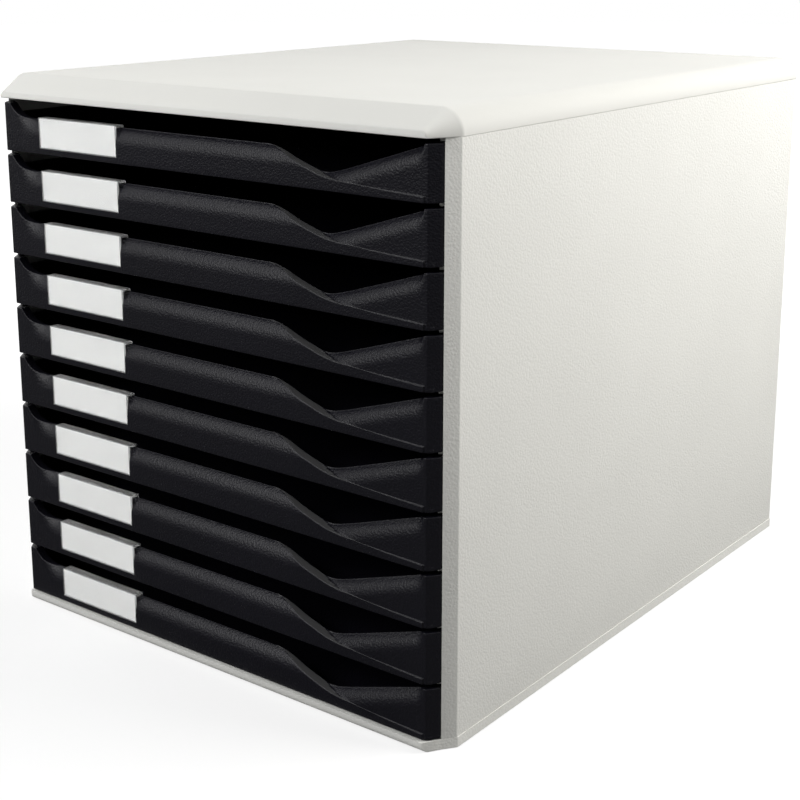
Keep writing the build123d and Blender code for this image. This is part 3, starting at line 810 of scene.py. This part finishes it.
# %% [markdown]
# Behind the front lies a shallow tray for A4 sheets. Its wall is one section carried round three
# sides along a path with rounded rear corners. The section's foot is a small curve that runs out
# on to the floor. Two ears rise at the rear and meet the stop nubs when the drawer is fully out.


# %% Tray behind the front
TRAY_HALF = 139.45
TRAY_REAR = 339.0
TRAY_CORNER = 6.0
FLOOR_THICK = 1.6
FLOOR_FILLET = 2.5


def tray_wall():
    """The section is (inwards, height). A point of the wall is the path's point plus its inward
    normal times the first number, at the height of the second."""
    foot = np.linspace(0.0, np.pi / 2, 6)
    inwards = np.concatenate([[0.0, 0.0, 0.12, 0.45], [1.35, 1.68, 1.8],
                              1.8 + FLOOR_FILLET * (1 - np.cos(foot)), [4.3, 0.3]])
    height = np.concatenate([[0.3, 18.5, 18.88, 19.0], [19.0, 18.88, 18.5],
                             FLOOR_THICK + FLOOR_FILLET * (1 - np.sin(foot)), [0.4, 0.0]])
    turn = np.linspace(0.0, np.pi / 2, 9)
    right_x = np.concatenate([[TRAY_HALF] * 3, TRAY_HALF - TRAY_CORNER * (1 - np.cos(turn))])
    right_y = np.concatenate([[8.2, 60.0, 200.0], TRAY_REAR - TRAY_CORNER * (1 - np.sin(turn))])
    normal_x = np.concatenate([[-1.0, -1.0, -1.0], -np.cos(turn)])
    normal_y = np.concatenate([[0.0, 0.0, 0.0], -np.sin(turn)])
    path = np.stack([right_x, right_y], axis=1)
    normal = np.stack([normal_x, normal_y], axis=1)
    path = np.concatenate([path, path[::-1] * (-1.0, 1.0)])
    normal = np.concatenate([normal, normal[::-1] * (-1.0, 1.0)])
    plan = path[:, None, :] + normal[:, None, :] * inwards[None, :, None]
    z = np.broadcast_to(height[None, :, None], plan.shape[:2] + (1,))
    return shell(np.concatenate([plan, z], axis=2))


def drawer_parts():
    """Front skin, tray wall, floor and ears, drawn with the underside at z = 0."""
    ear = slab(box_plan(TRAY_HALF - 1.8, TRAY_HALF, TRAY_REAR - 12.0, TRAY_REAR), 0.5, 25.1, 0.4, 0.5)
    floor_plate = slab(box_plan(-138.4, 138.4, 1.0, 336.5), 0.0, FLOOR_THICK, 0.1, 4.0)
    return [shell(front_rows()), tray_wall(), floor_plate, ear, mirrored_shell(ear)]


def drawer_place(number):
    """Where drawer number stands: its front plane, and its underside counted from the lowest."""
    return 0.0, DRAWER_FRONT_Y, FIRST_Z + (DRAWERS - number) * PITCH


parts = drawer_parts()
for number in range(1, DRAWERS + 1):
    shift = drawer_place(number)
    node = f"drawer_{number:02d}"
    drawer = make_piece(f"{node}_skin", parts, drawer_plastic, [node], node,
                        shift=shift)
    # The flat band behind the crease is smooth. Its colour is also made a little paler there, a
    # painted sheen for the light the band catches, so its points are marked.
    points = np.empty(3 * len(drawer.data.vertices))
    drawer.data.vertices.foreach_get("co", points)
    x, y, z = points.reshape(-1, 3).T * 1000.0 - np.reshape(shift, (3, 1))
    band = (x > 44.0) & (x < LIP_END + 0.3) & (y < 5.2) & (np.abs(z - front_edge(x)) < 0.06)
    smooth_and_painted_sheen = drawer.data.attributes.new("smooth_and_painted_sheen", "FLOAT", "POINT")
    smooth_and_painted_sheen.data.foreach_set("value", band * (1.0 - 0.7 * ease(x, 82.0, 98.0)))
print("drawer faces:", len(drawer.data.polygons), "polished points:", int(band.sum()))

# %% [markdown]
# The label holder is one clear moulding: a window, a narrow border that closes the sides, and a
# hook over the top edge of the front. Its section is carried from left to right. At both ends
# the slot behind the window is filled up, which makes the borders.


# %% Label holders and cards
CARD = (-109.05, -52.85, 3.5, 18.25)


def holder_rows():
    """Sections (depth, height) from left to right. The window lies 0.12 mm behind a narrow frame.
    The slot's corners fold on to its rear line at both ends, so the borders are solid."""
    x = np.array([-109.5, -109.45, -109.3, -109.12, -109.1, -108.6, -108.5,
                  -53.4, -53.3, -52.8, -52.78, -52.6, -52.45, -52.4])
    filled = np.array([1, 1, 1, 1, 0, 0, 0, 0, 0, 0, 1, 1, 1, 1], dtype=float)[:, None, None]
    framed = np.array([1, 1, 1, 1, 1, 1, 0, 0, 1, 1, 1, 1, 1, 1], dtype=float)[:, None]
    edge = np.array([0.25, 0.1, 0, 0, 0, 0, 0, 0, 0, 0, 0, 0, 0.1, 0.25])[:, None]
    window = np.array([
        (0.0, 3.0), (1.1, 3.0), (1.1, 3.4), (0.6, 3.4), (0.6, 18.35), (1.1, 18.35), (1.1, 17.55),
        (5.1, 17.55), (5.1, 16.45), (5.7, 16.45), (5.7, 18.75), (0.0, 18.75),
        (0.0, 18.0), (0.12, 17.9), (0.12, 4.0), (0.0, 3.9),
    ])
    closed = window.copy()
    closed[3:6] = [(1.1, 3.5), (1.1, 17.45), (1.1, 17.5)]
    section = window[None] * (1 - filled) + closed[None] * filled
    section[:, 13:15, 0] *= 1 - framed
    slot = [0.02] * 5
    frame_edge = [0.04] * 4
    reach = np.array([0.25, 0.1] + slot + [0.1, 0.2, 0.25, 0.5, 0.35] + frame_edge)
    section = soften(section, reach, 3)
    y = section[..., 0] + edge * np.where(section[..., 0] < 0.3, 1.0, 0.0)
    z = section[..., 1] + edge * np.where(section[..., 1] < 3.2, 1.0, 0.0)
    z = z - edge * np.where(section[..., 1] > 18.5, 1.0, 0.0)
    return np.stack([np.broadcast_to(x[:, None], y.shape), y, z], axis=-1)


def card_rows():
    """A thin card with rounded corners: its outline (x, z) at four depths."""
    outline = soften(box_plan(*CARD), 0.6)
    plan = inset(outline, np.array([0.06, 0.0, 0.0, 0.06]))
    depth = np.array([0.7, 0.76, 0.94, 1.0])
    y = np.broadcast_to(depth[:, None], plan.shape[:2])
    return np.stack([plan[..., 0], y, plan[..., 1]], axis=-1)


for number in range(1, DRAWERS + 1):
    shift = drawer_place(number)
    body = f"drawer_{number:02d}"
    holder = make_piece(f"label_window_{number:02d}", [shell(holder_rows())], holder_clear,
                        [f"label_holder_{number:02d}"], body, shift=shift)
    make_piece(f"label_paper_{number:02d}", [shell(card_rows())], label_card,
               [f"label_card_{number:02d}"], body, shift=shift)
print("holder faces:", len(holder.data.polygons))
